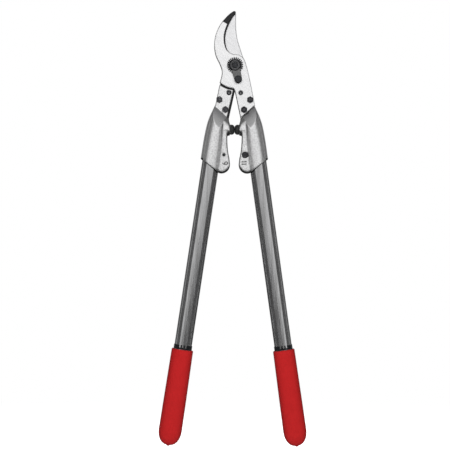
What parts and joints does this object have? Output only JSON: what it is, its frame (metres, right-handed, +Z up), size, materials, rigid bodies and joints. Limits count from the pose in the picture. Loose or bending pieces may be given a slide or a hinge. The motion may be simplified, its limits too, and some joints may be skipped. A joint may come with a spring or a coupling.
{
  "type": "lopper",
  "caption": "Long handled bypass lopper: hooked counter blade, ground cutting blade, toothed pivot nut with its lock, cast tube sockets with rubber buffers, oval tubes and red grips.",
  "frame": {"origin": "top of the peg that the lopper hangs on, in the middle plane under the two buffers' bosses", "axes": "+Z up to the blade tips, +X to the right seen from the front, +Y to the back; the shear plane of the blades is Y = 0"},
  "size_m": [0.204, 0.0287, 0.6],
  "materials": {
    "blade_steel": "finely brushed",
    "cast_alloy": "blasted",
    "tube_alloy": "grey anodised, satin",
    "black_steel": "blackened, satin",
    "segment_steel": "dark grey, satin",
    "black_rubber": "matt",
    "black_plastic": "glossy",
    "red_plastic": "soft matt"
  },
  "bodies": {
    "counter_side": {"counter_blade": "blade_steel", "pivot_bolt": "black_steel", "pivot_washer": "black_steel", "toothed_nut": "black_steel", "lock_segment": "segment_steel", "lock_screw": "black_steel", "lock_washer": "black_steel", "right_socket": "cast_alloy", "right_outer_bolt": "black_steel", "right_inner_bolt": "black_steel", "right_outer_nut": "black_steel", "right_inner_nut": "black_steel", "right_locating_pin": "black_steel", "right_ear_screw": "black_steel", "right_buffer": "black_rubber", "right_tube": "tube_alloy", "right_collar": "black_plastic", "right_grip": "red_plastic"},
    "cutting_side": {"cutting_blade": "blade_steel", "left_socket": "cast_alloy", "left_outer_bolt": "black_steel", "left_inner_bolt": "black_steel", "left_outer_nut": "black_steel", "left_inner_nut": "black_steel", "left_locating_pin": "black_steel", "left_ear_screw": "black_steel", "left_buffer": "black_rubber", "left_tube": "tube_alloy", "left_collar": "black_plastic", "left_grip": "red_plastic"}
  },
  "joints": [
    {"name": "blade_pivot", "type": "hinge", "parent": "counter_side", "child": "cutting_side", "pos_m": [0, 0, 0.0969], "axis": [0, 1, 0], "range_deg": [0, 60]}
  ]
}
